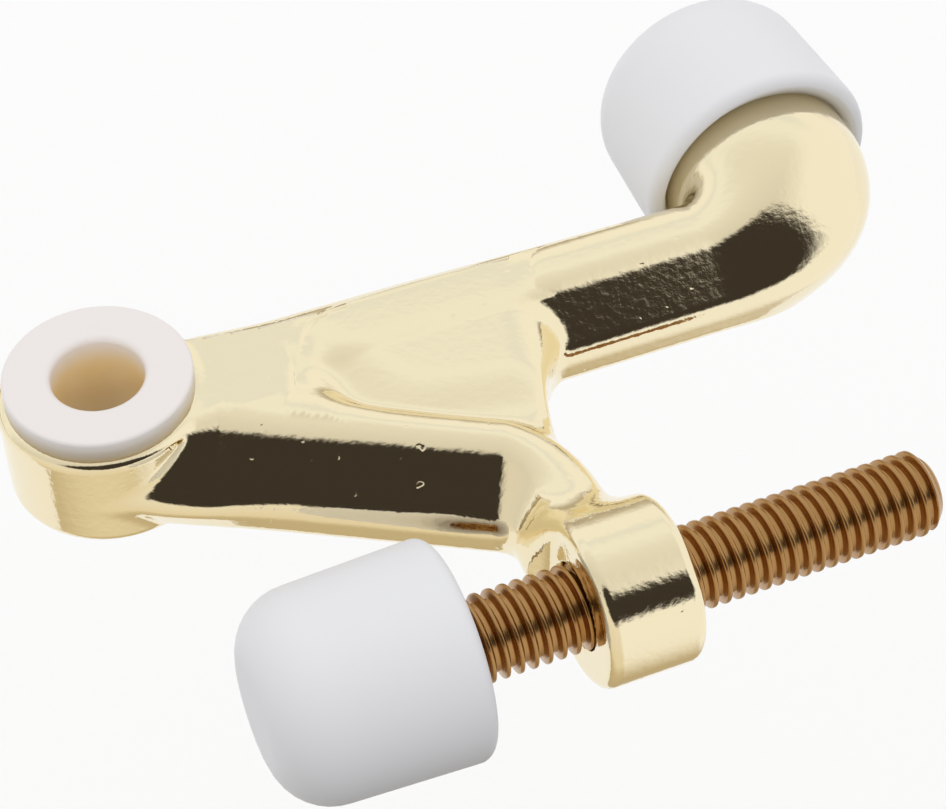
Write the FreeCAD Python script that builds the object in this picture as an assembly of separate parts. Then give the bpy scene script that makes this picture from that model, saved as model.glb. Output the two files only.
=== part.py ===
"""Hinge pin door stop: a cast two-armed body with a bushed eye, a rubber tip on the fixed arm
and a threaded adjusting screw with its own rubber tip in the ring of the short arm.

Frame, in millimetres: the origin is on the hinge pin's axis at half the casting's thickness,
+Z runs along the pin, +X along the long arm and +Y the way the fixed tip points.
"""
import FreeCAD, Part
import math
import os

V = FreeCAD.Vector

# Eye and bush
PIN_BORE_DIA = 6.5
BUSH_WALL = 1.25
BUSH_FLANGE_DIA = 13.2
BUSH_FLANGE_THICK = 1.7
BUSH_BORE_ROUND = 0.5
BUSH_FLANGE_ROUND = 0.25
BUSH_SEAT_CLEARANCE = 0.02
EYE_DIA = 14.4
EYE_THICK = 8.0
EYE_ROUND = 0.7

# Plate of the root and the arms, and the bevel along each arm's front
ARM_THICK = 7.8
BEVEL_END_Z = -0.1
BEVEL_ROUND = 3.0
FRONT_ROUND = 2.4
FOOT_ROUND = 1.9
BOTTOM_BACK_ROUND = 0.6

# Flat root between the eye and the fork
ROOT_LENGTH = 14.6
FORK_X = 13.6
FORK_Y = -2.6

# Long arm: edges across from the eye's axis
LONG_BACK_AT_EYE = 3.9
LONG_BACK_AT_BEND = 2.9
LONG_BEVEL_START = 2.8
LONG_FRONT_EDGE = 6.7
LONG_FOOT = 5.5
LONG_BACK_ROUND = 2.0

# Leaf: the long arm's broad face beside the fork, and the web in the crotch
LEAF_THICK = 7.0
LEAF_NOSE_X = 14.6
LEAF_NOSE_Y = -0.5
LEAF_CORNER_X = 20.2
LEAF_CORNER_Y = -8.0
LEAF_END_X = 27.0
LEAF_END_Y = -9.4
WEB_THICK = 4.6
WEB_LONG_END_X = 31.2
WEB_SHORT_END_X = 28.4
WEB_SHORT_END_Y = -15.0
WEB_EDGE_HOLLOW = 0.8

# Bend, and the round stub that the fixed tip is pushed on
FIXED_TIP_X = 54.7
STUB_WIDTH = 15.4
STUB_THICK = 14.0
STUB_SHOULDER_Y = 1.6
STUB_SHOULDER_ROUND = 1.5
BEND_END_Y = 5.0
BEND_INNER_RADIUS = 1.3
BEND_THICK = 13.2
BEND_FLAT = 3.0
BEND_EDGE = 0.2
BEND_ROUND = 6.2
TIP_MOUTH_Y = 5.9
STUB_GRIP_LENGTH = 9.0

# Short arm: it leaves the eye at an angle, then turns down into the ring
SHORT_ANGLE = 29.6
SHORT_BACK = 2.6
SHORT_BEVEL_START = 2.1
SHORT_FRONT_EDGE = 6.3
SHORT_FOOT = 5.2
SHORT_BACK_ROUND = 1.2
ELBOW_INNER_RADIUS = 1.5
NECK_GAP = 3.3
NECK_FRONT = 1.6
NECK_FOOT = 2.4
NECK_BEVEL_START = 4.4
NECK_BACK = 8.9
NECK_THICK = 7.0

# Ring and adjusting screw
SCREW_OFFSET = 27.1
SCREW_DIA = 6.0
SCREW_LENGTH = 45.0
SCREW_END_X = 50.5
SCREW_CHAMFER = 0.8
THREAD_PITCH = 1.0
THREAD_DEPTH = 0.5
THREAD_CREST = 0.3
THREAD_ROOT = 0.1
RING_DIA = 11.8
RING_LENGTH = 7.0
RING_START_X = 24.0
RING_ROUND = 0.6
RING_BORE_CLEARANCE = 0.05

# Rubber tips
FIXED_TIP_DIA = 18.7
FIXED_TIP_END_DIA = 17.9
FIXED_TIP_END_WALL = 4.6
FIXED_TIP_END_ROUND = 4.1
SCREW_TIP_DIA = 15.3
SCREW_TIP_FRONT_DIA = 14.6
SCREW_TIP_GRIP = 10.1
SCREW_TIP_END_WALL = 3.9
SCREW_TIP_FRONT_ROUND = 4.2
TIP_MOUTH_ROUND = 1.0
STUB_GRIP_CLEARANCE = 0.02
SCREW_GRIP_CLEARANCE = 0.03

# Worked-out values
EYE_TOP = EYE_THICK / 2
ARM_TOP = ARM_THICK / 2
SLEEVE_RADIUS = PIN_BORE_DIA / 2 + BUSH_WALL
STUB_HALF_WIDTH = STUB_WIDTH / 2
STUB_HALF_THICK = STUB_THICK / 2
RING_RADIUS = RING_DIA / 2
SCREW_RADIUS = SCREW_DIA / 2
SCREW_AXIS_Y = -SCREW_OFFSET
FIXED_TIP_LENGTH = STUB_GRIP_LENGTH + FIXED_TIP_END_WALL
SCREW_TIP_LENGTH = SCREW_TIP_GRIP + SCREW_TIP_END_WALL
BEND_PIVOT = V(FIXED_TIP_X - STUB_HALF_WIDTH - BEND_INNER_RADIUS, BEND_END_Y, 0)
SHORT_ALONG = V(math.cos(math.radians(SHORT_ANGLE)), -math.sin(math.radians(SHORT_ANGLE)), 0)
SHORT_ACROSS = V(-SHORT_ALONG.y, SHORT_ALONG.x, 0)
ELBOW_REACH = SHORT_FRONT_EDGE + ELBOW_INNER_RADIUS
ELBOW_PIVOT_X = RING_START_X - NECK_GAP
SHORT_LENGTH = (ELBOW_PIVOT_X + ELBOW_REACH * SHORT_ACROSS.x) / SHORT_ALONG.x
ELBOW_PIVOT = SHORT_ALONG * SHORT_LENGTH - SHORT_ACROSS * ELBOW_REACH
BEND_STEPS = 4
SAME_POINT = 1e-6
UP = V(0, 0, 1)


def oval(middle, across, half_width, half_thick):
    """Closed upright ellipse of four quarters round a middle point."""
    quarter = Part.ArcOfCircle(Part.Circle(V(0, 0, 0), UP, 1), 0, math.pi / 2).toShape()
    sides = (across * half_width, UP * half_thick, across * -half_width, UP * -half_thick)
    along = UP.cross(across)
    edges = []
    for index, first in enumerate(sides):
        second = sides[(index + 1) % len(sides)]
        matrix = FreeCAD.Matrix(first.x, second.x, along.x, middle.x,
                                first.y, second.y, along.y, middle.y,
                                first.z, second.z, along.z, middle.z,
                                0, 0, 0, 1)
        edges.append(quarter.transformGeometry(matrix).Edges[0])
    return Part.Wire(edges)


def between(start, end, share):
    """Value part of the way from start to end."""
    return start + (end - start) * share


def prism(outline, thick):
    """Flat plate of the given outline wire, centred on the casting's mid-plane."""
    plate = Part.Face(outline).extrude(UP * thick)
    plate.translate(UP * (-thick / 2))
    return plate


def rims_at(shape, centre):
    """Round edges centred on a point, smallest first."""
    rims = [edge for edge in shape.Edges if isinstance(edge.Curve, Part.Circle)
            and (edge.Curve.Center - centre).Length < SAME_POINT]
    return sorted(rims, key=lambda edge: edge.Curve.Radius)


def make_eye():
    """Round boss on the hinge pin's axis with softened rims."""
    eye = Part.makeCylinder(EYE_DIA / 2, EYE_THICK, V(0, 0, -EYE_TOP))
    rims = [edge for edge in eye.Edges if isinstance(edge.Curve, Part.Circle)]
    return eye.makeFillet(EYE_ROUND, rims)


def rounded_outline(corners, radii):
    """Closed wire of straight sides joined by tangent arcs at the corners."""
    arcs = []
    for index, (corner, radius) in enumerate(zip(corners, radii)):
        before = (corners[index - 1] - corner).normalize()
        after = (corners[(index + 1) % len(corners)] - corner).normalize()
        half_turn = before.getAngle(after) / 2
        reach = radius / math.tan(half_turn)
        inward = (before + after).normalize()
        middle = corner + inward * (radius / math.sin(half_turn) - radius)
        arcs.append((corner + before * reach, middle, corner + after * reach))
    edges = []
    for index, (start, middle, stop) in enumerate(arcs):
        edges.append(Part.Arc(start, middle, stop).toShape())
        edges.append(Part.makeLine(stop, arcs[(index + 1) % len(arcs)][0]))
    return Part.Wire(edges)


def arm_section(origin, across, sizes, radii):
    """Arm section: flat top, bevelled front, round front edge and flat underside.

    The sizes are the back edge, the bevel's start, the front edge and the foot, all measured across
    from the origin, and the half thickness."""
    back, bevel, front, foot, top = sizes
    corners = [origin + across * place + UP * height for place, height in (
        (back, top), (bevel, top), (front, BEVEL_END_Z), (foot, -top), (back, -top))]
    return rounded_outline(corners, radii)


def blended(first, second, share):
    """Each size part of the way from the first list to the second."""
    return [between(start, stop, share) for start, stop in zip(first, second)]


def make_stub(start_y, length, room):
    """Straight oval rod on the fixed tip's axis, larger all round by the room asked for."""
    middle = V(FIXED_TIP_X, start_y, 0)
    section = oval(middle, V(1, 0, 0), STUB_HALF_WIDTH + room, STUB_HALF_THICK + room)
    return Part.Face(section).extrude(V(0, length, 0))


def make_long_arm():
    """Straight arm along +X, then a bend about a vertical edge that swells over the round stub."""
    radii = [LONG_BACK_ROUND, BEVEL_ROUND, FRONT_ROUND, FOOT_ROUND, BOTTOM_BACK_ROUND]
    sections = []
    for x, back in ((0, LONG_BACK_AT_EYE), (BEND_PIVOT.x, LONG_BACK_AT_BEND)):
        sizes = [back, -LONG_BEVEL_START, -LONG_FRONT_EDGE, -LONG_FOOT, ARM_TOP]
        sections.append(arm_section(V(x, 0, 0), V(0, 1, 0), sizes, radii))
    arm = Part.makeLoft(sections, True)
    middle = BEND_INNER_RADIUS + STUB_HALF_WIDTH
    first = [BEND_END_Y - LONG_BACK_AT_BEND, BEND_END_Y + LONG_BEVEL_START, BEND_END_Y + LONG_FRONT_EDGE,
             BEND_END_Y + LONG_FOOT, ARM_TOP]
    last = [BEND_INNER_RADIUS + BEND_EDGE, middle + BEND_FLAT, middle + STUB_HALF_WIDTH - BEND_EDGE,
            middle + BEND_FLAT, BEND_THICK / 2]
    bend_sections = []
    for step in range(BEND_STEPS + 1):
        share = step / BEND_STEPS
        turn = share * math.pi / 2
        outward = V(math.sin(turn), -math.cos(turn), 0)
        bend_radii = blended(radii, [BEND_ROUND] * len(radii), share)
        bend_sections.append(arm_section(BEND_PIVOT, outward, blended(first, last, share), bend_radii))
    bend = Part.makeLoft(bend_sections, True)
    stub = make_stub(STUB_SHOULDER_Y, TIP_MOUTH_Y + STUB_GRIP_LENGTH - STUB_SHOULDER_Y, 0)
    shoulder = [edge for edge in stub.Edges if edge.BoundBox.YMax < STUB_SHOULDER_Y + SAME_POINT]
    return [arm, bend, stub.makeFillet(STUB_SHOULDER_ROUND, shoulder)]


def make_short_arm():
    """Straight arm from the eye, then an elbow about a vertical edge that narrows to the ring's neck."""
    radii = [SHORT_BACK_ROUND, BEVEL_ROUND, FRONT_ROUND, FOOT_ROUND, BOTTOM_BACK_ROUND]
    sizes = [SHORT_BACK, -SHORT_BEVEL_START, -SHORT_FRONT_EDGE, -SHORT_FOOT, ARM_TOP]
    arm = Part.Face(arm_section(V(0, 0, 0), SHORT_ACROSS, sizes, radii)).extrude(SHORT_ALONG * SHORT_LENGTH)
    first = [ELBOW_REACH + size for size in sizes[:-1]] + [ARM_TOP]
    last = [NECK_BACK, NECK_BEVEL_START, NECK_FRONT, NECK_FOOT, NECK_THICK / 2]
    start_turn = math.atan2(SHORT_ACROSS.y, SHORT_ACROSS.x)
    sections = []
    for step in range(BEND_STEPS + 1):
        share = step / BEND_STEPS
        turn = start_turn * (1 - share)
        outward = V(math.cos(turn), math.sin(turn), 0)
        sections.append(arm_section(ELBOW_PIVOT, outward, blended(first, last, share), radii))
    elbow = Part.makeLoft(sections, True)
    neck_length = ELBOW_PIVOT.y - (SCREW_AXIS_Y + SCREW_RADIUS)
    neck = Part.Face(sections[-1]).extrude(V(0, -neck_length, 0))
    return [arm, elbow, neck]


def make_root():
    """Flat-topped filling between the two arms, from the eye to the fork."""
    short_side = SHORT_ACROSS * (SHORT_BACK - SHORT_BACK_ROUND) + SHORT_ALONG * ROOT_LENGTH
    corners = [V(0, 0, 0), V(ROOT_LENGTH, 0, 0), V(FORK_X, FORK_Y, 0), short_side]
    return prism(Part.makePolygon(corners + corners[:1]), ARM_THICK)


def make_leaf():
    """Broad face that spreads from the long arm towards the fork, above the web."""
    corners = [V(LEAF_NOSE_X, LEAF_NOSE_Y, 0), V(LEAF_CORNER_X, LEAF_CORNER_Y, 0),
               V(LEAF_END_X, LEAF_END_Y, 0), V(WEB_LONG_END_X, -LONG_BEVEL_START, 0)]
    return prism(Part.makePolygon(corners + corners[:1]), LEAF_THICK)


def make_web():
    """Plate in the crotch with a hollow free edge."""
    edge_from = V(WEB_LONG_END_X, -LONG_FRONT_EDGE, 0)
    edge_to = V(WEB_SHORT_END_X, WEB_SHORT_END_Y, 0)
    hollow = (edge_from + edge_to) / 2 - V(WEB_EDGE_HOLLOW, 0, 0)
    edge = Part.Arc(edge_from, hollow, edge_to).toShape()
    inside_arms = Part.makePolygon([edge_to, SHORT_ALONG * SHORT_LENGTH, SHORT_ALONG * ROOT_LENGTH,
                                    V(ROOT_LENGTH, 0, 0), V(WEB_LONG_END_X, -LONG_BEVEL_START, 0), edge_from])
    return prism(Part.Wire([edge] + inside_arms.Edges), WEB_THICK)


def make_ring():
    """Round boss on the screw's axis with softened rims."""
    ring = Part.makeCylinder(RING_RADIUS, RING_LENGTH, V(RING_START_X, SCREW_AXIS_Y, 0), V(1, 0, 0))
    rims = [edge for edge in ring.Edges if isinstance(edge.Curve, Part.Circle)]
    return ring.makeFillet(RING_ROUND, rims)


def make_stop_body():
    """Cast body: eye, root, both arms, leaf, web and ring in one piece, bored for bush and screw."""
    pieces = make_long_arm() + make_short_arm() + [make_root(), make_leaf(), make_web(), make_ring()]
    body = make_eye().fuse(pieces).removeSplitter()
    eye_bore = Part.makeCylinder(SLEEVE_RADIUS + BUSH_SEAT_CLEARANCE, 2 * EYE_THICK, V(0, 0, -EYE_THICK))
    ring_bore = Part.makeCylinder(SCREW_RADIUS + RING_BORE_CLEARANCE, 2 * RING_LENGTH,
                                  V(RING_START_X - RING_LENGTH / 2, SCREW_AXIS_Y, 0), V(1, 0, 0))
    return body.cut([eye_bore, ring_bore])


def make_bush():
    """Flanged sleeve in the eye, bored for the hinge pin."""
    sleeve = Part.makeCylinder(SLEEVE_RADIUS, EYE_THICK, V(0, 0, -EYE_TOP))
    flange = Part.makeCylinder(BUSH_FLANGE_DIA / 2, BUSH_FLANGE_THICK, V(0, 0, EYE_TOP))
    length = EYE_THICK + BUSH_FLANGE_THICK
    bore = Part.makeCylinder(PIN_BORE_DIA / 2, length, V(0, 0, -EYE_TOP))
    bush = sleeve.fuse(flange).cut(bore).removeSplitter()
    top = EYE_TOP + BUSH_FLANGE_THICK
    bush = bush.makeFillet(BUSH_BORE_ROUND, rims_at(bush, V(0, 0, top))[:1])
    return bush.makeFillet(BUSH_FLANGE_ROUND, rims_at(bush, V(0, 0, top))[-1:])


def rounded_cone(base, along, base_radius, end_radius, length, base_round, end_round):
    """Slightly tapered plug with both rims rounded."""
    cone = Part.makeCone(base_radius, end_radius, length, base, along)
    cone = cone.makeFillet(end_round, rims_at(cone, base + along * length))
    return cone.makeFillet(base_round, rims_at(cone, base))


def make_fixed_tip():
    """Rubber cap pushed over the stub."""
    mouth = V(FIXED_TIP_X, TIP_MOUTH_Y, 0)
    cap = rounded_cone(mouth, V(0, 1, 0), FIXED_TIP_DIA / 2, FIXED_TIP_END_DIA / 2, FIXED_TIP_LENGTH,
                       TIP_MOUTH_ROUND, FIXED_TIP_END_ROUND)
    return cap.cut(make_stub(mouth.y, STUB_GRIP_LENGTH, STUB_GRIP_CLEARANCE))


def make_screw_tip():
    """Rubber tip on the near end of the screw."""
    screw_start_x = SCREW_END_X - SCREW_LENGTH
    mouth = V(screw_start_x + SCREW_TIP_GRIP, SCREW_AXIS_Y, 0)
    along = V(-1, 0, 0)
    tip = rounded_cone(mouth, along, SCREW_TIP_DIA / 2, SCREW_TIP_FRONT_DIA / 2, SCREW_TIP_LENGTH,
                       TIP_MOUTH_ROUND, SCREW_TIP_FRONT_ROUND)
    socket = Part.makeCylinder(SCREW_RADIUS + SCREW_GRIP_CLEARANCE, SCREW_TIP_GRIP, mouth, along)
    return tip.cut(socket)


def make_screw():
    """Adjusting screw, chamfered at both ends, with the thread's grooves as rings."""
    low = SCREW_RADIUS - THREAD_DEPTH
    end_radius = SCREW_RADIUS - SCREW_CHAMFER
    profile = [V(0, 0, 0), V(0, end_radius, 0), V(SCREW_CHAMFER, SCREW_RADIUS, 0)]
    groove = THREAD_PITCH - THREAD_CREST
    slope = (groove - THREAD_ROOT) / 2
    x = SCREW_CHAMFER + THREAD_CREST
    while x + THREAD_PITCH <= SCREW_LENGTH - SCREW_CHAMFER:
        profile += [V(x, SCREW_RADIUS, 0), V(x + slope, low, 0), V(x + slope + THREAD_ROOT, low, 0),
                    V(x + groove, SCREW_RADIUS, 0)]
        x += THREAD_PITCH
    profile += [V(SCREW_LENGTH - SCREW_CHAMFER, SCREW_RADIUS, 0), V(SCREW_LENGTH, end_radius, 0),
                V(SCREW_LENGTH, 0, 0)]
    screw = Part.Face(Part.makePolygon(profile + profile[:1])).revolve(V(0, 0, 0), V(1, 0, 0), 360)
    screw.translate(V(SCREW_END_X - SCREW_LENGTH, SCREW_AXIS_Y, 0))
    return screw


NODES = {
    "stop_body": make_stop_body,
    "hinge_pin_bush": make_bush,
    "fixed_rubber_tip": make_fixed_tip,
    "adjusting_screw": make_screw,
    "screw_rubber_tip": make_screw_tip,
}

os.makedirs("parts", exist_ok=True)
for name, make in NODES.items():
    shape = make()
    shape.exportStep(f"parts/{name}.step")
    print(name, "solids", len(shape.Solids), "valid", shape.isValid(), "volume", round(shape.Volume, 1))
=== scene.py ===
"""Looks of a hinge pin door stop: a polished brass-plated casting, a nylon bush, two white rubber tips
and a bronze-plated adjusting screw. Sizes are in millimetres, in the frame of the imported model."""

import math

import bpy
import numpy as np
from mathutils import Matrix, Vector


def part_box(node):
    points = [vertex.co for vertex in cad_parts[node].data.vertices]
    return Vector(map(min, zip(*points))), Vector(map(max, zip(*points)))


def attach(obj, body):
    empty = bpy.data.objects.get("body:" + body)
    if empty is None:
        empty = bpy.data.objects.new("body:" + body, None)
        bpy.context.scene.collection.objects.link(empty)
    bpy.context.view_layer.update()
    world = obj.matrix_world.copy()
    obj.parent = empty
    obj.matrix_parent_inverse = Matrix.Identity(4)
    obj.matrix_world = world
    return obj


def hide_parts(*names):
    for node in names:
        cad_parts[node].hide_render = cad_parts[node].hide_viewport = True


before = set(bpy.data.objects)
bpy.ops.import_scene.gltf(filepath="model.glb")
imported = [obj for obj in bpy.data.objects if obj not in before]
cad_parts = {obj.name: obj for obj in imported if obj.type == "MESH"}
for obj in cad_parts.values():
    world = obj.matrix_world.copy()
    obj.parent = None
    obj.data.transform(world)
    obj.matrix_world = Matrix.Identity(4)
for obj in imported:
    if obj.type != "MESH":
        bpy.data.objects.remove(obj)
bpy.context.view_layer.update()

MM = 0.001

# Camera, at the photograph's viewing angle
CAMERA_PLACE = (-19.30, -113.57, 126.04)
CAMERA_TARGET = (24.71, -7.84, 0.0)
CAMERA_LENS = 91.18
CAMERA_SENSOR = 36.0
CAMERA_NEAR = 5.0

# Eye and flat root of the casting
EYE_RADIUS = 7.2
EYE_HALF_THICK = 4.0
EYE_ROUND = 0.7
EYE_BORE_RADIUS = 4.52
EYE_BORE_ROUND = 0.2
EYE_FILLET = 0.5
ROOT_FRONT = -4.0
ROOT_NOSE_ROUND = 1.2

# Section of the arms: half thickness, the bevel's lower end, falls of the top, and the corners' rounding
ARM_HALF_THICK = 3.9
BEVEL_END_Z = -0.4
TOP_FALL = 0.07
BACK_FALL = 0.7
BACK_REACH = 1.5
CREST_REACH = 0.9
BEVEL_REACH = 0.8
FRONT_REACH = 1.0
FOOT_REACH = 1.5

# Long arm: edges across from the eye's axis, and the stretches of x over which the crest moves
LONG_BACK_AT_EYE = 3.9
LONG_BACK_AT_BEND = 2.9
LONG_CREST = 1.3
LONG_CREST_AT_ROOT = 1.6
LONG_CREST_AT_EYE = 2.6
LONG_CREST_FROM_EYE = (5.0, 14.0)
LONG_CREST_FROM_ROOT = (22.0, 36.0)
LONG_BEVEL = -1.65
LONG_FRONT = -6.25
LONG_FOOT = -5.5

# Leaf: the long arm's broad face beside the fork
LEAF_HEIGHT = 3.55
LEAF_FALL = 0.05
LEAF_END_X = 31.7
LEAF_END_Y = -2.5
LEAF_END_Z = 2.4
LEAF_END_SLANT = 0.3
LEAF_END_FALL = 1.05
RIM_Y = 1.6
RIM_NOSE_X = 14.1
RIM_NOSE_DROP = 3.1
RIM_NOSE_REACH = 1.6
RIM_NOSE_LIMIT = 4.0
LEAF_LOW_START = (15.0, -0.8)
LEAF_LOW_SLOPE = -1.44
LEAF_LOW_LEVEL = (21.0, -8.3)
LEAF_LOW_LEVEL_SLOPE = -0.18
LEAF_LOW_Z = 2.9
LEAF_LOW_FALL = 0.6
LEAF_LOW_REACH = 4.0
LEAF_LOW_TURN = 1.2
LEAF_LOW_ROUND = 1.0
LEAF_END_ROUND = 1.5
LEAF_EDGE_ROUND = 0.8
LEAF_FILLET = 0.6
SINK_ROUND = 0.5
SINK_END_FALL = 0.2

# Bend, and the stub for the fixed tip
BEND_X = 45.7
BEND_Y = 5.0
STUB_X = 54.7
STUB_HALF_WIDTH = 7.7
STUB_HALF_THICK = 7.0
STUB_END_Y = 14.9

# Short arm, its elbow and neck: edges across from the eye's axis, then from the elbow's centre
SHORT_ANGLE = math.radians(29.6)
SHORT_LENGTH = 28.24
SHORT_BACK_WIDTH = 1.2
SHORT_CREST = 0.6
SHORT_CREST_RISE = 0.8
SHORT_CREST_PLACE = 14.0
SHORT_CREST_REACH = 4.0
SHORT_CREST_TURN = 4.3
SHORT_CREST_TURN_FROM = 3.5
SHORT_CREST_TURN_TO = 13.0
SHORT_BEVEL = -1.15
SHORT_FRONT = -5.9
SHORT_FRONT_AT_EYE = -7.0
SHORT_FLARE = (5.0, 14.0)
SHORT_FOOT = -5.2
SHORT_FILLET = 0.8
ELBOW_X = 20.7
ELBOW_Y = -20.73
ELBOW_REACH = 7.8
NECK_BACK = 8.9
NECK_CREST = 6.4
NECK_BEVEL = 4.4
NECK_FRONT = 1.6
NECK_FOOT = 2.4
NECK_HALF_THICK = 3.5
NECK_END_Y = -22.6

# Web between the arms
WEB_HALF_THICK = 2.3
WEB_RISE = 1.2
WEB_RISE_FROM = 17.0
WEB_RISE_TO = 13.5
WEB_START_X = 12.0
WEB_MIDDLE = (29.15, -10.3)
WEB_EDGE_SLANT = 0.4
WEB_EDGE_CURVE = 0.055
WEB_EDGE_ROUND = 1.5
WEB_END_ROUND = 1.0
WEB_FILLET = 1.0

# Ring and adjusting screw
SCREW_Y = -27.1
SCREW_RADIUS = 3.0
SCREW_PITCH = 1.0
SCREW_CORE_RADIUS = 2.42
SCREW_START_X = 5.5
SCREW_END_X = 50.5
SCREW_CHAMFER = 0.8
THREAD_ROOT_SHARE = 0.2
THREAD_CREST_SHARE = 0.95
RING_RADIUS = 5.9
RING_START_X = 24.0
RING_END_X = 31.0
RING_ROUND = 0.8
RING_BORE_RADIUS = 3.05
RING_BORE_ROUND = 0.3
RING_FILLET = 2.0

# Bush
PIN_BORE_RADIUS = 3.25
SLEEVE_RADIUS = 4.5
FLANGE_RADIUS = 6.6
FLANGE_TOP = 5.7
BORE_ROUND = 0.5
FLANGE_ROUND = 0.25
# Height below which the nylon is painted fully warm: a painted glow of light from the brass
PAINTED_GLOW_TOP = 3.0

# Rubber tips
FIXED_TIP_MOUTH_Y = 5.9
FIXED_TIP_LENGTH = 13.6
FIXED_TIP_RADIUS = 9.31
FIXED_TIP_END_RADIUS = 8.95
FIXED_TIP_END_ROUND = 4.1
STUB_GRIP = 9.0
SCREW_TIP_MOUTH_X = 15.6
SCREW_TIP_LENGTH = 14.0
SCREW_TIP_RADIUS = 7.62
SCREW_TIP_END_RADIUS = 7.3
SCREW_TIP_END_ROUND = 4.2
SCREW_GRIP = 10.1
SCREW_GRIP_CLEARANCE = 0.03
MOUTH_ROUND = 1.0
SOCKET_ROWS = 2

# Level ways to the camera and to its right, and the dark patch that polished metal reflects above it
TO_CAMERA = (-0.384, -0.923, 0.0)
TO_RIGHT = (0.923, -0.384, 0.0)
DARK_RISE = math.radians(41)
DARK_RISE_REACH = math.radians(25)
DARK_RIGHT = 0.16
DARK_RIGHT_REACH = 0.68
DARK_SOFT = 0.35
DARK_COLOUR = "#38322c"

# Colours of the room that polished metal reflects, by the rise in degrees from the camera's side
ROOM_LIGHT = ((-180, "#b8ae9c"), (-90, "#c4b494"), (-65, "#d0c2a4"), (-47, "#ece2cc"), (10, "#f3ede2"),
              (66, "#e2e0dc"), (104, "#f0f0ee"), (118, "#fcfeff"), (127, "#fcfeff"), (133, "#eff4f8"),
              (142, "#ffffff"), (160, "#ffffff"), (172, "#d0c8ba"), (180, "#b8ae9c"))

# White table, and the dimmer room below it
TABLE_FRONT_Y = -12
TABLE_REACH = 3000
TABLE_Z = -100
LOW_FROM = -0.45
LOW_TO = 0.5
LOW_COLOUR = "#6a6a6a"

# Pale side of the room to the right
RIGHT_FROM = 0.3
RIGHT_TO = 0.65

# Orange peel of the plating
PEEL_SIZE = 0.6
PEEL_HEIGHT = 0.02

# Pits of the casting that show through the plating
PIT_SIZE = 0.95
PIT_DEPTH = 0.025
PIT_FROM = 0.73
PIT_TO = 0.81

# Fineness of the meshes
SKIN_SPACING = 0.28
SKIN_ROUNDS = 4
SLOPE_STEP = 0.01
SLOPE_FLOOR = 1e-6
OVAL_FLOOR = 1e-9
ROUND_STEPS = 128
ARC_STEPS = 10
THREAD_STEPS = 20
THREAD_ROUND_STEPS = 72

# Settings of shader nodes: an eased range, a mix of colours, and white
SMOOTH = {"interpolation_type": "SMOOTHSTEP"}
COLOUR = {"data_type": "RGBA"}
WHITE = (1, 1, 1, 1)


def between(start, end, share):
    """Value part of the way from start to end."""
    return start + (end - start) * share


def eased(low, high, value):
    """Share from 0 to 1 as value goes from low to high, level at both ends: 3t^2 - 2t^3."""
    t = np.clip((value - low) / (high - low), 0, 1)
    return t * t * (3 - 2 * t)


def blend_union(a, b, reach):
    """The lesser of two fields, rounded where they are within reach: a quadratic fillet."""
    share = np.clip(0.5 + 0.5 * (b - a) / reach, 0, 1)
    return b + (a - b) * share - reach * share * (1 - share)


def blend_cut(a, b, reach):
    """The greater of two fields, rounded where they are within reach."""
    return -blend_union(-a, -b, reach)


def oval_field(across, z, width, thick):
    """Distance to an ellipse to first order: k(k-1)/m, with k = |p/r| and m = |p/r^2|."""
    k = np.sqrt((across / width) ** 2 + (z / thick) ** 2 + OVAL_FLOOR)
    m = np.sqrt((across / width**2) ** 2 + (z / thick**2) ** 2 + OVAL_FLOOR)
    return k * (k - 1) / m


def drum_field(radial, axial, radius, half_length, rounding):
    """Distance to a cylinder whose rims are rounded: a box in radius and length, grown by the rounding."""
    across = radial - radius + rounding
    along = np.abs(axial) - half_length + rounding
    outside = np.hypot(np.maximum(across, 0), np.maximum(along, 0))
    return outside + np.minimum(np.maximum(across, along), 0) - rounding


def side_field(across, z, first, second):
    """Distance to the outside of a straight side between two corners of a section, as (across, z) pairs."""
    run = second[0] - first[0]
    drop = second[1] - first[1]
    return ((across - first[0]) * drop - (z - first[1]) * run) / np.hypot(run, drop)


def top_field(across, z, crest, thick):
    """Height above an arm's top, which is level behind the crest and falls gently in front of it."""
    return z - thick + TOP_FALL * np.maximum(crest - across, 0)


def arm_field(across, z, edges, thick):
    """Arm section: the greatest of the distances to its sides, rounded at the corners. The edges are the
    back, the crest, the bevel's start, the front and the foot, measured across."""
    back, crest, bevel, front, foot = edges
    front_edge = (front, BEVEL_END_Z)
    bevel_side = side_field(across, z, (bevel, thick), front_edge)
    field = blend_cut(top_field(across, z, crest, thick), bevel_side, BEVEL_REACH)
    field = blend_cut(field, side_field(across, z, front_edge, (foot, -thick)), FRONT_REACH)
    field = blend_cut(field, -thick - z, FOOT_REACH)
    slope = (BACK_FALL * (across - crest) + z - thick) / math.hypot(1, BACK_FALL)
    return blend_cut(field, blend_cut(slope, across - back, BACK_REACH), CREST_REACH)


def leaf_depth(x, y):
    """Distance inside the leaf's rim, which runs along the arm and turns round a nose at the fork."""
    turn = RIM_NOSE_DROP * np.exp(-np.maximum(x - RIM_NOSE_X, -RIM_NOSE_LIMIT) / RIM_NOSE_REACH)
    return (RIM_Y - turn - y) / np.sqrt(1 + (turn / RIM_NOSE_REACH) ** 2)


def long_crest(x):
    """Place across of the long arm's crest, nearest the back at the eye."""
    at_root = between(LONG_CREST_AT_EYE, LONG_CREST_AT_ROOT, eased(*LONG_CREST_FROM_EYE, x))
    return between(at_root, LONG_CREST, eased(*LONG_CREST_FROM_ROOT, x))


def leaf_top(x, y, z):
    """Height above the leaf's face, which falls gently from its rim."""
    return z - LEAF_HEIGHT + LEAF_FALL * leaf_depth(x, y)


def leaf_end(x, y):
    """Distance past the leaf's end, where it turns into the long arm's bevel."""
    return x - LEAF_END_X - LEAF_END_SLANT * (y - LEAF_END_Y)


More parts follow.
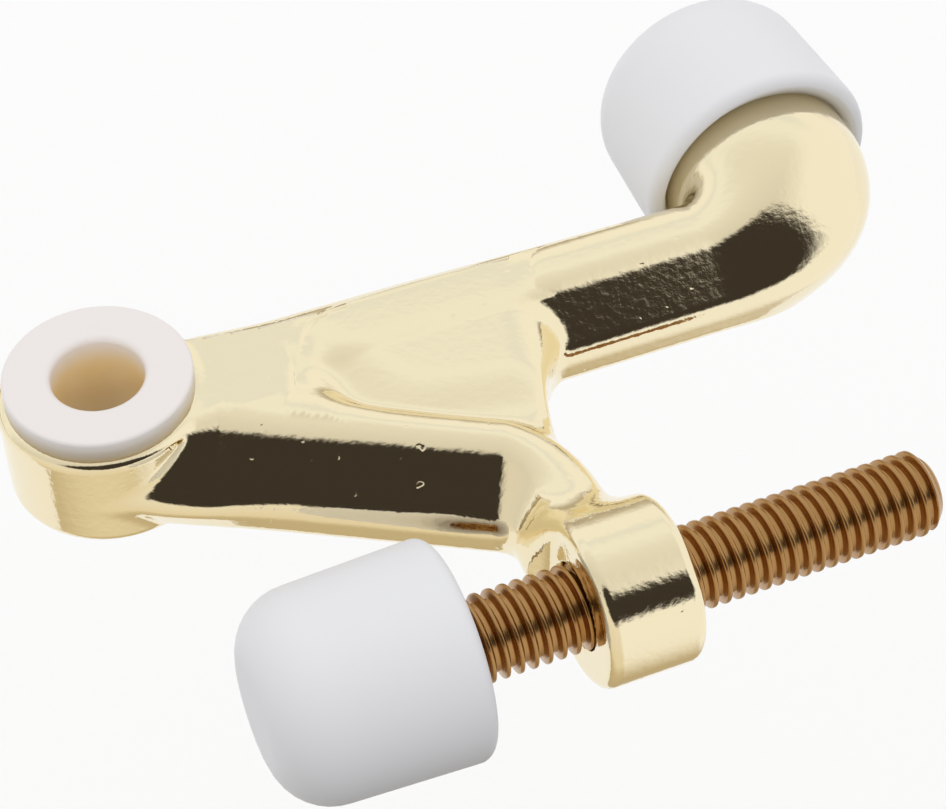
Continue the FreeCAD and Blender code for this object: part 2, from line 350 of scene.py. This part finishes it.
def leaf_end_face(x, y, z):
    """Distance outside the slanted face at the leaf's end."""
    return (LEAF_END_FALL * leaf_end(x, y) + z - LEAF_END_Z) / math.hypot(1, LEAF_END_FALL)


def leaf_low_edge(x, y):
    """Distance past the leaf's edge above the valley: a slanted line from the nose, then a level one."""
    slanted = LEAF_LOW_START[1] + LEAF_LOW_SLOPE * (x - LEAF_LOW_START[0]) - y
    level = LEAF_LOW_LEVEL[1] + LEAF_LOW_LEVEL_SLOPE * (x - LEAF_LOW_LEVEL[0]) - y
    return blend_cut(slanted / math.hypot(1, LEAF_LOW_SLOPE), level, LEAF_LOW_TURN)


def gap_edge(x, y):
    """Distance past the web's free edge, a shallow parabola across the crotch."""
    across = y - WEB_MIDDLE[1]
    return x - WEB_MIDDLE[0] - WEB_EDGE_SLANT * across - WEB_EDGE_CURVE * across**2


def long_arm_field(x, y, z):
    """Bevelled section carried along +X, its top sunk to the leaf's face inside the rim."""
    back = between(LONG_BACK_AT_EYE, LONG_BACK_AT_BEND, x / BEND_X)
    edges = (back, long_crest(x), LONG_BEVEL, LONG_FRONT, LONG_FOOT)
    arm = arm_field(y, z, edges, ARM_HALF_THICK)
    sunk = np.minimum(leaf_top(x, y, z), np.minimum(leaf_depth(x, y), -SINK_END_FALL * leaf_end(x, y)))
    return np.maximum(blend_cut(arm, sunk, SINK_ROUND), np.maximum(-x, x - BEND_X))


def leaf_field(x, y, z):
    """Plate that falls gently from the rim to its edge above the valley and ends at the gap."""
    top = np.maximum(leaf_top(x, y, z), -ARM_HALF_THICK - z)
    low = LEAF_LOW_FALL * leaf_low_edge(x, y) + z - LEAF_LOW_Z
    plate = blend_cut(top, leaf_end_face(x, y, z), LEAF_END_ROUND)
    plate = blend_cut(plate, low / math.hypot(1, LEAF_LOW_FALL), LEAF_LOW_ROUND)
    edge = np.maximum(gap_edge(x, y), leaf_low_edge(x, y) - LEAF_LOW_REACH)
    plate = blend_cut(plate, edge, LEAF_EDGE_ROUND)
    return np.maximum(plate, np.maximum(-leaf_depth(x, y), y - long_crest(x)))


def bend_field(x, y, z):
    """The long arm's section carried round a vertical line, turning into the stub's oval on the way."""
    share = np.clip(np.arctan2(x - BEND_X, BEND_Y - y), 0, math.pi / 2) / (math.pi / 2)
    across = np.where(share < 1, -np.hypot(x - BEND_X, y - BEND_Y), BEND_X - x)
    edges = [edge - BEND_Y for edge in (LONG_BACK_AT_BEND, LONG_CREST, LONG_BEVEL, LONG_FRONT, LONG_FOOT)]
    arm = arm_field(across, z, edges, ARM_HALF_THICK)
    stub = oval_field(across + STUB_X - BEND_X, z, STUB_HALF_WIDTH, STUB_HALF_THICK)
    bend = between(arm, stub, eased(0, 1, share))
    return np.maximum(bend, np.maximum(BEND_X - x, y - STUB_END_Y))


def short_crest(along):
    """Place across of the short arm's crest: from the eye's rim back to the fork, then gently forward."""
    hump = SHORT_CREST_RISE * np.exp(-((along - SHORT_CREST_PLACE) / SHORT_CREST_REACH) ** 2)
    turn = SHORT_CREST_TURN * (1 - eased(SHORT_CREST_TURN_FROM, SHORT_CREST_TURN_TO, along))
    return SHORT_CREST + hump - turn


def short_front(along):
    """Place across of the short arm's front edge, which flares towards the eye."""
    return between(SHORT_FRONT_AT_EYE, SHORT_FRONT, eased(*SHORT_FLARE, along))


def short_arm_field(x, y, z):
    """Bevelled section carried along the slanted arm, then round a vertical line into the neck along -Y."""
    along = x * math.cos(SHORT_ANGLE) - y * math.sin(SHORT_ANGLE)
    back_way = x * math.sin(SHORT_ANGLE) + y * math.cos(SHORT_ANGLE)
    start_turn = math.pi / 2 - SHORT_ANGLE
    share = np.clip((start_turn - np.arctan2(y - ELBOW_Y, x - ELBOW_X)) / start_turn, 0, 1)
    crest = short_crest(np.minimum(along, SHORT_LENGTH))
    bevel = np.minimum(SHORT_BEVEL, crest)
    starts = (crest + SHORT_BACK_WIDTH, crest, bevel, short_front(along), SHORT_FOOT)
    ends = (NECK_BACK, NECK_CREST, NECK_BEVEL, NECK_FRONT, NECK_FOOT)
    edges = [between(start + ELBOW_REACH, end, share) for start, end in zip(starts, ends)]
    across = np.where(share <= 0, back_way + ELBOW_REACH, np.hypot(x - ELBOW_X, y - ELBOW_Y))
    across = np.where(share >= 1, x - ELBOW_X, across)
    arm = arm_field(across, z, edges, between(ARM_HALF_THICK, NECK_HALF_THICK, share))
    return np.maximum(np.maximum(arm, -along), NECK_END_Y - y)


def root_field(x, y, z):
    """Flat plate from the eye to the leaf's nose, between the arms' crests, with the short arm's bevel."""
    along = x * math.cos(SHORT_ANGLE) - y * math.sin(SHORT_ANGLE)
    back_way = x * math.sin(SHORT_ANGLE) + y * math.cos(SHORT_ANGLE)
    crest = short_crest(along)
    bevel = side_field(back_way, z, (np.minimum(SHORT_BEVEL, crest), ARM_HALF_THICK),
                       (short_front(along), BEVEL_END_Z))
    plate = blend_cut(top_field(back_way, z, crest, ARM_HALF_THICK), bevel, BEVEL_REACH)
    plate = np.maximum(plate, np.maximum(-ARM_HALF_THICK - z, ROOT_FRONT - back_way))
    return blend_cut(np.maximum(plate, np.maximum(-x, y - long_crest(x))), leaf_depth(x, y),
                     ROOT_NOSE_ROUND)


def web_field(x, y, z):
    """Plate in the crotch that rises towards the fork, with a hollow free edge."""
    back_way = x * math.sin(SHORT_ANGLE) + y * math.cos(SHORT_ANGLE)
    thick = WEB_HALF_THICK + WEB_RISE * eased(-WEB_RISE_FROM, -WEB_RISE_TO, -x)
    plate = blend_cut(np.abs(z) - thick, gap_edge(x, y), WEB_EDGE_ROUND)
    plate = blend_cut(plate, leaf_end_face(x, y, z), WEB_END_ROUND)
    return np.maximum(np.maximum(plate, np.maximum(y, -back_way)), WEB_START_X - x)


def casting_field(x, y, z):
    """Field that is zero on the casting's skin and negative inside: arms, leaf, root, web, eye and ring
    joined with fillets, then bored for the bush and the screw."""
    body = blend_union(long_arm_field(x, y, z), leaf_field(x, y, z), LEAF_FILLET)
    body = blend_union(body, web_field(x, y, z), WEB_FILLET)
    body = blend_union(body, short_arm_field(x, y, z), SHORT_FILLET)
    body = np.maximum(body, np.abs(z) - ARM_HALF_THICK)
    body = np.minimum(body, np.minimum(root_field(x, y, z), bend_field(x, y, z)))
    eye = drum_field(np.hypot(x, y), z, EYE_RADIUS, EYE_HALF_THICK, EYE_ROUND)
    body = blend_union(body, eye, EYE_FILLET)
    screw_radial = np.hypot(y - SCREW_Y, z)
    ring = drum_field(screw_radial, x - (RING_START_X + RING_END_X) / 2, RING_RADIUS,
                      (RING_END_X - RING_START_X) / 2, RING_ROUND)
    body = blend_union(body, ring, RING_FILLET)
    body = blend_cut(body, EYE_BORE_RADIUS - np.hypot(x, y), EYE_BORE_ROUND)
    return blend_cut(body, RING_BORE_RADIUS - screw_radial, RING_BORE_ROUND)


def skin_of(field, low, high, spacing):
    """Mesh of the surface where a field is zero: one point in each grid cell that the surface crosses,
    at the mean of the crossings on the cell's edges, moved onto the surface along the field's slope,
    and one four-sided face round each grid edge that it crosses."""
    axes = [np.arange(a, b + spacing, spacing) for a, b in zip(low, high)]
    grid = np.stack(np.meshgrid(*axes, indexing="ij"), -1)
    value = field(grid[..., 0], grid[..., 1], grid[..., 2])
    inside = value < 0
    shape = np.array(value.shape) - 1
    total = np.zeros((*shape, 3))
    count = np.zeros(shape)
    crossings = []
    for axis in range(3):
        first = [slice(None)] * 3
        second = [slice(None)] * 3
        first[axis] = slice(None, -1)
        second[axis] = slice(1, None)
        a, b = value[tuple(first)], value[tuple(second)]
        crossed = inside[tuple(first)] != inside[tuple(second)]
        share = np.where(crossed, a / np.where(crossed, a - b, 1), 0)
        point = grid[tuple(first)].copy()
        point[..., axis] += share * spacing
        crossings.append((crossed, inside[tuple(first)]))
        others = [k for k in range(3) if k != axis]
        for i in (0, 1):
            for j in (0, 1):
                cut = [slice(None)] * 3
                cut[others[0]] = slice(i, i + shape[others[0]])
                cut[others[1]] = slice(j, j + shape[others[1]])
                cut = tuple(cut)
                total += point[cut] * crossed[cut][..., None]
                count += crossed[cut]
    used = count > 0
    points = total[used] / count[used][:, None]
    number = np.full(shape, -1)
    number[used] = np.arange(len(points))
    faces = []
    for axis, (crossed, first_inside) in enumerate(crossings):
        i, j = [(1, 2), (2, 0), (0, 1)][axis]
        cut = [slice(None)] * 3
        cut[i] = slice(1, -1)
        cut[j] = slice(1, -1)
        place = np.argwhere(crossed[tuple(cut)])
        turned = first_inside[tuple(cut)][tuple(place.T)]
        place[:, i] += 1
        place[:, j] += 1
        step_i = np.eye(3, dtype=int)[i]
        step_j = np.eye(3, dtype=int)[j]
        ring = [place - step_i - step_j, place - step_j, place, place - step_i]
        quad = np.stack([number[tuple(corner.T)] for corner in ring], 1)
        faces.append(np.where(turned[:, None], quad, quad[:, ::-1]))
    for _ in range(SKIN_ROUNDS):
        slope, height = slope_of(field, points)
        points -= slope * (height / np.maximum((slope**2).sum(1), SLOPE_FLOOR))[:, None]
    slope = slope_of(field, points)[0]
    return points, np.concatenate(faces), slope / np.linalg.norm(slope, axis=1)[:, None]


def slope_of(field, points):
    """Slope of a field by central differences, and its value."""
    slope = np.empty_like(points)
    for axis in range(3):
        ahead, behind = points.copy(), points.copy()
        ahead[:, axis] += SLOPE_STEP
        behind[:, axis] -= SLOPE_STEP
        slope[:, axis] = (field(*ahead.T) - field(*behind.T)) / (2 * SLOPE_STEP)
    return slope, field(*points.T)


def make_piece(name, points, faces, material, normals=None):
    """Object at the origin from points in millimetres and blocks of faces, shaded smooth."""
    mesh = bpy.data.meshes.new(name)
    mesh.from_pydata((points * MM).tolist(), [], [face for block in faces for face in block.tolist()])
    mesh.polygons.foreach_set("use_smooth", np.ones(len(mesh.polygons), bool))
    mesh.materials.append(material)
    if normals is not None:
        mesh.normals_split_custom_set_from_vertices(normals.tolist())
    mesh.update()
    piece = bpy.data.objects.new(name, mesh)
    bpy.context.scene.collection.objects.link(piece)
    return piece


def wrapped_faces(rows, columns):
    """Faces of a grid whose rows and columns both close on themselves."""
    index = np.arange(rows * columns).reshape(rows, columns)
    right = np.roll(index, -1, 1)
    down = np.roll(index, -1, 0)
    across = np.roll(right, -1, 0)
    return np.stack([index, right, across, down], -1).reshape(-1, 4)


def capped_faces(rows, columns):
    """Faces of a grid whose columns close on themselves, and a fan at each end to a pole: the two poles
    come after the grid's points."""
    first = np.arange(columns)
    last = first + (rows - 1) * columns
    pole = np.full(columns, rows * columns)
    return [wrapped_faces(rows, columns)[:(rows - 1) * columns],
            np.stack([pole, np.roll(first, -1), first], 1), np.stack([pole + 1, last, np.roll(last, -1)], 1)]


def arc(centre_along, centre_out, radius, start, end):
    """Points of an arc as (along, out) pairs, from a start to an end angle in degrees."""
    angle = np.radians(np.linspace(start, end, ARC_STEPS))
    return np.stack([centre_along + radius * np.cos(angle), centre_out + radius * np.sin(angle)], 1)


def spin(profile, origin, along, start_way):
    """Profile of (along, out) pairs carried round an axis: origin + along a + out (u cos t + v sin t)."""
    u = np.array(start_way, float)
    a = np.array(along, float)
    v = np.cross(a, u)
    t = np.linspace(0, 2 * math.pi, ROUND_STEPS, endpoint=False)
    round_way = u * np.cos(t)[:, None] + v * np.sin(t)[:, None]
    points = np.array(origin, float) + profile[:, None, :1] * a + profile[:, None, 1:] * round_way
    return points.reshape(-1, 3)


def linear(code):
    """Linear colour with alpha from an sRGB hex code."""
    share = np.array([int(code[i:i + 2], 16) for i in (1, 3, 5)]) / 255
    value = np.where(share <= 0.04045, share / 12.92, ((share + 0.055) / 1.055) ** 2.4)
    return (*value, 1.0)


def add_node(tree, kind, settings=None, **links):
    """Node of a kind with attribute settings. A link is a value or an output socket for the input of that
    name, or of that number where the name is a number after a line such as _6."""
    node = tree.nodes.new(kind)
    for key, value in (settings or {}).items():
        setattr(node, key, value)
    for key, value in links.items():
        socket = node.inputs[int(key[1:]) if key[1:].isdigit() else key.replace("_", " ")]
        if isinstance(value, bpy.types.NodeSocket):
            tree.links.new(value, socket)
        else:
            socket.default_value = value
    return node


def new_material(name):
    """New material and its Principled shader."""
    material = bpy.data.materials.new(name)
    material.use_nodes = True
    return material, material.node_tree.nodes["Principled BSDF"]


def polished_brass_plate():
    """Bright brass plate on a tumbled zinc casting: a mirror with a faint orange peel and a few pits."""
    material, shader = new_material("polished_brass_plate")
    tree = material.node_tree
    shader.inputs["Base Color"].default_value = linear("#f3e6c3")
    shader.inputs["Metallic"].default_value = 1.0
    shader.inputs["Roughness"].default_value = 0.08
    place = add_node(tree, "ShaderNodeTexCoord").outputs["Object"]
    peel = add_node(tree, "ShaderNodeTexNoise", Vector=place, Scale=1 / (PEEL_SIZE * MM), Detail=3.0)
    bump = add_node(tree, "ShaderNodeBump", Strength=1.0, Distance=PEEL_HEIGHT * MM,
                    Height=peel.outputs["Fac"])
    patches = add_node(tree, "ShaderNodeTexNoise", Vector=place, Scale=1 / (PIT_SIZE * MM), Detail=1.0)
    pits = add_node(tree, "ShaderNodeMapRange", SMOOTH, Value=patches.outputs["Fac"], From_Min=PIT_FROM,
                    From_Max=PIT_TO)
    dent = add_node(tree, "ShaderNodeBump", {"invert": True}, Strength=1.0, Distance=PIT_DEPTH * MM,
                    Height=pits.outputs[0], Normal=bump.outputs["Normal"])
    tree.links.new(dent.outputs["Normal"], shader.inputs["Normal"])
    return material


def white_rubber():
    """Moulded white rubber: matt and even, shaded softly with no clear reflection."""
    material, shader = new_material("moulded_white_rubber")
    shader.inputs["Base Color"].default_value = linear("#e9e9ec")
    shader.inputs["Roughness"].default_value = 0.55
    return material


def nylon_with_painted_glow():
    """Natural nylon: milky white on top, warmer below, where the warmth is a painted glow of light from the
    brass shining through and under it.
    """
    material, shader = new_material("natural_nylon_painted_glow")
    tree = material.node_tree
    place = add_node(tree, "ShaderNodeTexCoord").outputs["Object"]
    height = add_node(tree, "ShaderNodeSeparateXYZ", Vector=place).outputs["Z"]
    share = add_node(tree, "ShaderNodeMapRange", SMOOTH, Value=height, From_Min=PAINTED_GLOW_TOP * MM,
                     From_Max=(FLANGE_TOP - FLANGE_ROUND / 2) * MM).outputs[0]
    # The lower, warm colour is painted light, the brass's glow in the nylon and its bore, not the nylon's own
    # colour
    colour = add_node(tree, "ShaderNodeMix", COLOUR, _0=share, _6=linear("#fae2b0"),
                      _7=linear("#efe9e6")).outputs[2]
    tree.links.new(colour, shader.inputs["Base Color"])
    shader.inputs["Roughness"].default_value = 0.4
    return material


def bronze_plate():
    """Antique bronze plate on a rolled steel thread: a warm brown metal with blurred glints on its crests."""
    material, shader = new_material("antique_bronze_plate")
    shader.inputs["Base Color"].default_value = linear("#b08857")
    shader.inputs["Metallic"].default_value = 1.0
    shader.inputs["Roughness"].default_value = 0.25
    return material


def make_casting(material):
    """The casting's skin."""
    low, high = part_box("stop_body")
    room = 2 * SKIN_SPACING
    points, faces, normals = skin_of(casting_field, np.array(low) / MM - room, np.array(high) / MM + room,
                                     SKIN_SPACING)
    return make_piece("casting", points, [faces], material, normals)


def make_bush(material):
    """Flanged sleeve as one closed profile spun about the pin's axis."""
    under = EYE_HALF_THICK
    profile = np.concatenate([
        [(-under, PIN_BORE_RADIUS), (-under, SLEEVE_RADIUS), (under, SLEEVE_RADIUS), (under, FLANGE_RADIUS)],
        arc(FLANGE_TOP - FLANGE_ROUND, FLANGE_RADIUS - FLANGE_ROUND, FLANGE_ROUND, 90, 0),
        arc(FLANGE_TOP - BORE_ROUND, PIN_BORE_RADIUS + BORE_ROUND, BORE_ROUND, 0, -90)])
    points = spin(profile, (0, 0, 0), (0, 0, 1), (1, 0, 0))
    return make_piece("pin_bush", points, [wrapped_faces(len(profile), ROUND_STEPS)], material)


def tip_profile(length, radius, end_radius, end_round, grip, socket_radius):
    """Outline of a rubber tip from its socket's floor, out over the mouth, to its flat end, as (along, out)
    pairs."""
    return np.concatenate([
        [(grip, socket_radius), (MOUTH_ROUND, socket_radius)],
        arc(MOUTH_ROUND, radius - MOUTH_ROUND, MOUTH_ROUND, 180, 90),
        arc(length - end_round, end_radius - end_round, end_round, 90, 0)])


def make_tip(name, profile, origin, along, start_way, socket_share, material):
    """Closed rubber tip whose socket's height is a share of its width, with a pole on the socket's floor
    and one on the end."""
    points = spin(profile, origin, along, start_way)
    points[:SOCKET_ROWS * ROUND_STEPS, 2] *= socket_share
    poles = np.array(origin, float) + profile[[0, -1], :1] * np.array(along, float)
    faces = capped_faces(len(profile), ROUND_STEPS)
    return make_piece(name, np.concatenate([points, poles]), faces, material)


def make_screw(material):
    """Thread: radius is a function of the phase x / pitch - angle / turn, a rounded crest and root,
    kept under a cone at each end."""
    length = SCREW_END_X - SCREW_START_X
    x = np.linspace(0, length, int(length / SCREW_PITCH * THREAD_STEPS) + 1)
    t = np.linspace(0, 2 * math.pi, THREAD_ROUND_STEPS, endpoint=False)
    phase = x[:, None] / SCREW_PITCH - t / (2 * math.pi)
    wave = 0.5 + 0.5 * np.cos(2 * math.pi * phase)
    rise = eased(THREAD_ROOT_SHARE, THREAD_CREST_SHARE, wave)
    radius = between(SCREW_CORE_RADIUS, SCREW_RADIUS, rise)
    cone = SCREW_RADIUS - SCREW_CHAMFER + np.minimum(x, length - x)[:, None]
    radius = np.minimum(radius, cone)
    points = np.stack([np.broadcast_to(SCREW_START_X + x[:, None], radius.shape),
                       SCREW_Y + radius * np.cos(t), radius * np.sin(t)], -1).reshape(-1, 3)
    poles = [(SCREW_START_X, SCREW_Y, 0), (SCREW_END_X, SCREW_Y, 0)]
    faces = capped_faces(len(x), THREAD_ROUND_STEPS)
    return make_piece("screw_thread", np.concatenate([points, poles]), faces, material)


def make_stage():
    """White matt table: a bright, even ground whose front edge lies under the stop."""
    sides = ((-TABLE_REACH, TABLE_FRONT_Y), (TABLE_REACH, TABLE_FRONT_Y), (TABLE_REACH, TABLE_REACH),
             (-TABLE_REACH, TABLE_REACH))
    points = np.array([(x, y, TABLE_Z) for x, y in sides], float)
    material, shader = new_material("white_floor")
    shader.inputs["Base Color"].default_value = linear("#ffffff")
    shader.inputs["Roughness"].default_value = 0.9
    floor = make_piece("floor", points, [np.array([[0, 1, 2, 3]])], material)


def make_world():
    """White room that is dimmer below. Polished metal sees its colours by their rise, the angle up from the
    camera's side and on over the top, paler to the right, with a dark oval patch above the camera: the
    patch is where the squares of the offsets from its middle, each over its reach, add up to less than 1."""
    world = bpy.data.worlds.new("studio")
    bpy.context.scene.world = world
    world.use_nodes = True
    tree = world.node_tree
    way = add_node(tree, "ShaderNodeTexCoord").outputs["Generated"]
    to_camera, to_right, up = [
        add_node(tree, "ShaderNodeVectorMath", {"operation": "DOT_PRODUCT"}, _0=way, _1=axis).outputs["Value"]
        for axis in (TO_CAMERA, TO_RIGHT, (0, 0, 1))]
    rise = add_node(tree, "ShaderNodeMath", {"operation": "ARCTAN2"}, _0=up, _1=to_camera).outputs[0]
    patch = ((rise, DARK_RISE, DARK_RISE_REACH), (to_right, DARK_RIGHT, DARK_RIGHT_REACH))
    offsets = [add_node(tree, "ShaderNodeMapRange", {"clamp": False}, Value=value, From_Min=middle,
                        From_Max=middle + reach).outputs[0] for value, middle, reach in patch]
    squares = [add_node(tree, "ShaderNodeMath", {"operation": "MULTIPLY"}, _0=value, _1=value).outputs[0]
               for value in offsets]
    far = add_node(tree, "ShaderNodeMath", {"operation": "ADD"}, _0=squares[0], _1=squares[1]).outputs[0]
    light = add_node(tree, "ShaderNodeMapRange", SMOOTH, Value=far, From_Min=1 - DARK_SOFT,
                     From_Max=1 + DARK_SOFT).outputs[0]
    turn = add_node(tree, "ShaderNodeMapRange", Value=rise, From_Min=-math.pi, From_Max=math.pi).outputs[0]
    ramp = add_node(tree, "ShaderNodeValToRGB", Fac=turn)
    while len(ramp.color_ramp.elements) < len(ROOM_LIGHT):
        ramp.color_ramp.elements.new(0.5)
    for element, (degrees, colour) in zip(ramp.color_ramp.elements, ROOM_LIGHT):
        element.position = (degrees + 180) / 360
        element.color = linear(colour)
    beside = add_node(tree, "ShaderNodeMapRange", SMOOTH, Value=to_right, From_Min=RIGHT_FROM,
                      From_Max=RIGHT_TO).outputs[0]
    above = add_node(tree, "ShaderNodeMapRange", SMOOTH, Value=up, From_Min=LOW_FROM,
                     From_Max=LOW_TO).outputs[0]
    path = add_node(tree, "ShaderNodeLightPath").outputs
    room = add_node(tree, "ShaderNodeMix", COLOUR, _0=beside, _6=ramp.outputs["Color"], _7=WHITE).outputs[2]
    seen = add_node(tree, "ShaderNodeMix", COLOUR, _0=light, _6=linear(DARK_COLOUR), _7=room).outputs[2]
    soft = add_node(tree, "ShaderNodeMix", COLOUR, _0=above, _6=linear(LOW_COLOUR), _7=WHITE).outputs[2]
    shown = add_node(tree, "ShaderNodeMix", COLOUR, _0=path["Is Camera Ray"], _6=soft, _7=WHITE).outputs[2]
    colour = add_node(tree, "ShaderNodeMix", COLOUR, _0=path["Is Glossy Ray"], _6=shown, _7=seen).outputs[2]
    tree.links.new(colour, tree.nodes["Background"].inputs["Color"])


def make_camera():
    """Camera of the photograph."""
    data = bpy.data.cameras.new("camera")
    data.lens = CAMERA_LENS
    data.sensor_width = CAMERA_SENSOR
    data.sensor_fit = "HORIZONTAL"
    data.clip_start = CAMERA_NEAR * MM
    camera = bpy.data.objects.new("camera", data)
    bpy.context.scene.collection.objects.link(camera)
    place = Vector(CAMERA_PLACE) * MM
    camera.location = place
    camera.rotation_euler = (Vector(CAMERA_TARGET) * MM - place).to_track_quat("-Z", "Y").to_euler()
    bpy.context.scene.camera = camera


bpy.context.scene.view_settings.view_transform = "Standard"
make_camera()
make_world()
make_stage()

rubber = white_rubber()
casting = make_casting(polished_brass_plate())
bush = make_bush(nylon_with_painted_glow())
fixed_tip = make_tip(
    "fixed_tip",
    tip_profile(FIXED_TIP_LENGTH, FIXED_TIP_RADIUS, FIXED_TIP_END_RADIUS, FIXED_TIP_END_ROUND, STUB_GRIP,
                STUB_HALF_WIDTH),
    (STUB_X, FIXED_TIP_MOUTH_Y, 0), (0, 1, 0), (1, 0, 0), STUB_HALF_THICK / STUB_HALF_WIDTH, rubber)
screw_tip = make_tip(
    "screw_tip",
    tip_profile(SCREW_TIP_LENGTH, SCREW_TIP_RADIUS, SCREW_TIP_END_RADIUS, SCREW_TIP_END_ROUND, SCREW_GRIP,
                SCREW_RADIUS + SCREW_GRIP_CLEARANCE),
    (SCREW_TIP_MOUTH_X, SCREW_Y, 0), (-1, 0, 0), (0, 1, 0), 1, rubber)
screw = make_screw(bronze_plate())

for piece, body, node, finish in (
        (casting, "stop", "stop_body", "brass_plate"),
        (bush, "stop", "hinge_pin_bush", "nylon"),
        (fixed_tip, "stop", "fixed_rubber_tip", "white_rubber"),
        (screw_tip, "screw_tip", "screw_rubber_tip", "white_rubber"),
        (screw, "screw", "adjusting_screw", "bronze_screw")):
    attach(piece, body)
    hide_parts(node)
